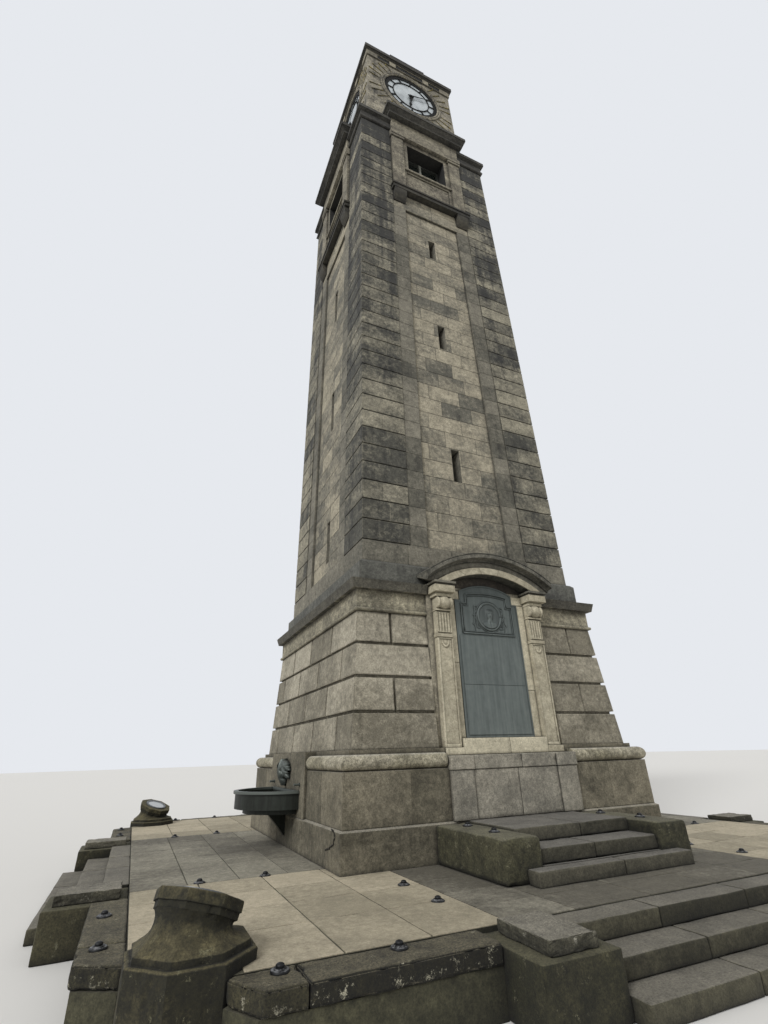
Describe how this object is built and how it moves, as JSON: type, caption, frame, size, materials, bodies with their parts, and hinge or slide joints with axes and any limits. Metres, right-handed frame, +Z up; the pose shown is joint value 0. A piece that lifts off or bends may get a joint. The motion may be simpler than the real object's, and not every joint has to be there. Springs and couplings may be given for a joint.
{
  "type": "memorial clock tower",
  "caption": "Square battered stone clock tower on a stepped terrace, with a memorial panel, drinking basins, belfry windows and turning clock hands.",
  "frame": {"origin": "on the ground, under the centre of the tower and terrace", "axes": "+Z up; the memorial panel and its steps face -Y; +X to the right of someone facing the front"},
  "size_m": [11.98, 12.22, 24.9982],
  "materials": {
    "tower_stone": "weathered limestone ashlar",
    "terrace_stone": "weathered sandstone, stained by algae",
    "bronze": "dull verdigris",
    "basin_bronze": "dull verdigris",
    "dial_iron": "black paint",
    "opal_glass": "opal glass",
    "window_glass": "dusty glass",
    "lamp_glass": "frosted glass",
    "lamp_metal": "satin",
    "frame_paint": "worn pale paint",
    "roof_lead": "dull lead sheet"
  },
  "bodies": {
    "tower": {"arch_hoods": "tower_stone", "back_base_wall": "tower_stone", "back_flight": "terrace_stone", "back_panel": "tower_stone", "back_shaft_wall": "tower_stone", "balconies": "tower_stone", "base_cornice": "tower_stone", "basin_spouts": "basin_bronze", "basin_taps": "basin_bronze", "basins": "basin_bronze", "bay_cornices": "tower_stone", "blocking_course": "tower_stone", "clock_stage_plinth": "tower_stone", "clock_stage_walls": "tower_stone", "corner_cornice": "tower_stone", "dial_frames": "dial_iron", "dial_glasses": "opal_glass", "dial_surrounds": "tower_stone", "floodlight_lenses": "lamp_glass", "floodlight_rims": "lamp_metal", "front_base_wall": "tower_stone", "front_flight": "terrace_stone", "front_plaque": "bronze", "front_shaft_wall": "tower_stone", "lamp_pedestals": "terrace_stone", "left_base_wall": "tower_stone", "left_flight": "terrace_stone", "left_shaft_wall": "tower_stone", "lower_plinth": "tower_stone", "parapet": "tower_stone", "pier_caps": "terrace_stone", "pilasters": "tower_stone", "plinth_torus": "tower_stone", "portal_steps": "tower_stone", "right_base_wall": "tower_stone", "right_flight": "terrace_stone", "right_shaft_wall": "tower_stone", "roof_slab": "roof_lead", "shaft_quoins": "tower_stone", "slit_panes": "window_glass", "stair_piers": "terrace_stone", "step_cheeks": "tower_stone", "terrace_coping": "terrace_stone", "terrace_platform": "terrace_stone", "top_cornice": "tower_stone", "upper_plinth": "tower_stone", "window_frames": "frame_paint", "window_glazing": "window_glass", "window_surrounds": "tower_stone"},
    "front_minute_hand": {"front_minute_hand": "dial_iron"},
    "front_hour_hand": {"front_hour_hand": "dial_iron"},
    "right_minute_hand": {"right_minute_hand": "dial_iron"},
    "right_hour_hand": {"right_hour_hand": "dial_iron"},
    "back_minute_hand": {"back_minute_hand": "dial_iron"},
    "back_hour_hand": {"back_hour_hand": "dial_iron"},
    "left_minute_hand": {"left_minute_hand": "dial_iron"},
    "left_hour_hand": {"left_hour_hand": "dial_iron"}
  },
  "joints": [
    {"name": "front_minute_turn", "type": "hinge", "parent": "tower", "child": "front_minute_hand", "pos_m": [0, -1.664, 22.5281], "axis": [0, 1, 0], "continuous": true},
    {"name": "front_hour_turn", "type": "hinge", "parent": "tower", "child": "front_hour_hand", "pos_m": [0, -1.664, 22.5281], "axis": [0, 1, 0], "continuous": true},
    {"name": "right_minute_turn", "type": "hinge", "parent": "tower", "child": "right_minute_hand", "pos_m": [1.664, 0, 22.5281], "axis": [-1, 0, 0], "continuous": true},
    {"name": "right_hour_turn", "type": "hinge", "parent": "tower", "child": "right_hour_hand", "pos_m": [1.664, 0, 22.5281], "axis": [-1, 0, 0], "continuous": true},
    {"name": "back_minute_turn", "type": "hinge", "parent": "tower", "child": "back_minute_hand", "pos_m": [0, 1.664, 22.5281], "axis": [0, -1, 0], "continuous": true},
    {"name": "back_hour_turn", "type": "hinge", "parent": "tower", "child": "back_hour_hand", "pos_m": [0, 1.664, 22.5281], "axis": [0, -1, 0], "continuous": true},
    {"name": "left_minute_turn", "type": "hinge", "parent": "tower", "child": "left_minute_hand", "pos_m": [-1.664, 0, 22.5281], "axis": [1, 0, 0], "continuous": true},
    {"name": "left_hour_turn", "type": "hinge", "parent": "tower", "child": "left_hour_hand", "pos_m": [-1.664, 0, 22.5281], "axis": [1, 0, 0], "continuous": true}
  ],
  "couplings": [
    {"joint": "front_hour_turn", "follows": "front_minute_turn", "ratio": 0.083333},
    {"joint": "right_minute_turn", "follows": "front_minute_turn", "ratio": 1},
    {"joint": "right_hour_turn", "follows": "front_minute_turn", "ratio": 0.083333},
    {"joint": "back_minute_turn", "follows": "front_minute_turn", "ratio": 1},
    {"joint": "back_hour_turn", "follows": "front_minute_turn", "ratio": 0.083333},
    {"joint": "left_minute_turn", "follows": "front_minute_turn", "ratio": 1},
    {"joint": "left_hour_turn", "follows": "front_minute_turn", "ratio": 0.083333}
  ]
}
